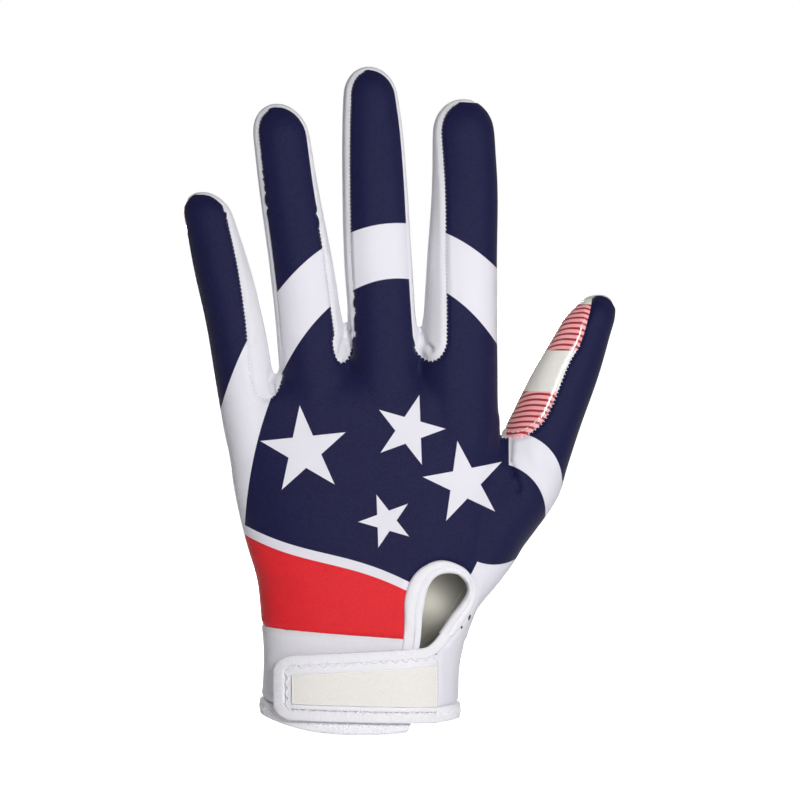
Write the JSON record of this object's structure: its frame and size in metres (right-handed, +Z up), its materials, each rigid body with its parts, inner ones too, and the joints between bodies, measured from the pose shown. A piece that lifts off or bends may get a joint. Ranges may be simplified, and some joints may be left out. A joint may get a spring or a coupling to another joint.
{
  "type": "football glove",
  "caption": "Left-hand sport glove for ball catching: printed stretch back, glossy coated palm, strips between the fingers, keyhole opening and a closure strap at the wrist.",
  "frame": {"origin": "centre of the wrist opening, at the lowest level of its hem", "axes": "+Z up along the hand to the fingertips, +X towards the thumb, -Y out of the back of the hand, +Y out of the palm"},
  "size_m": [0.1496, 0.0482, 0.2293],
  "materials": {
    "print_fabric": "printed stretch knit, navy with white, red and stars",
    "coated_palm": "glossy tacky coating on cream synthetic leather, printed stripe blocks",
    "white_fabric": "white stretch knit",
    "binding_tape": "ribbed elastic tape, folded over the edge",
    "strap_fabric": "smooth laminated cloth",
    "loop_pad": "soft napped pad",
    "hook_patch": "plain hook fastener tape"
  },
  "bodies": {
    "root": {"back_panel": "print_fabric", "palm_panel": "coated_palm", "fourchette_pinky_ring": "white_fabric", "fourchette_ring_middle": "white_fabric", "fourchette_middle_index": "white_fabric", "cuff": "white_fabric", "hem_binding": "binding_tape", "keyhole_binding": "binding_tape", "closure_strap": "strap_fabric", "strap_binding": "binding_tape", "strap_pad": "loop_pad", "hook_patch": "hook_patch"}
  },
  "joints": []
}
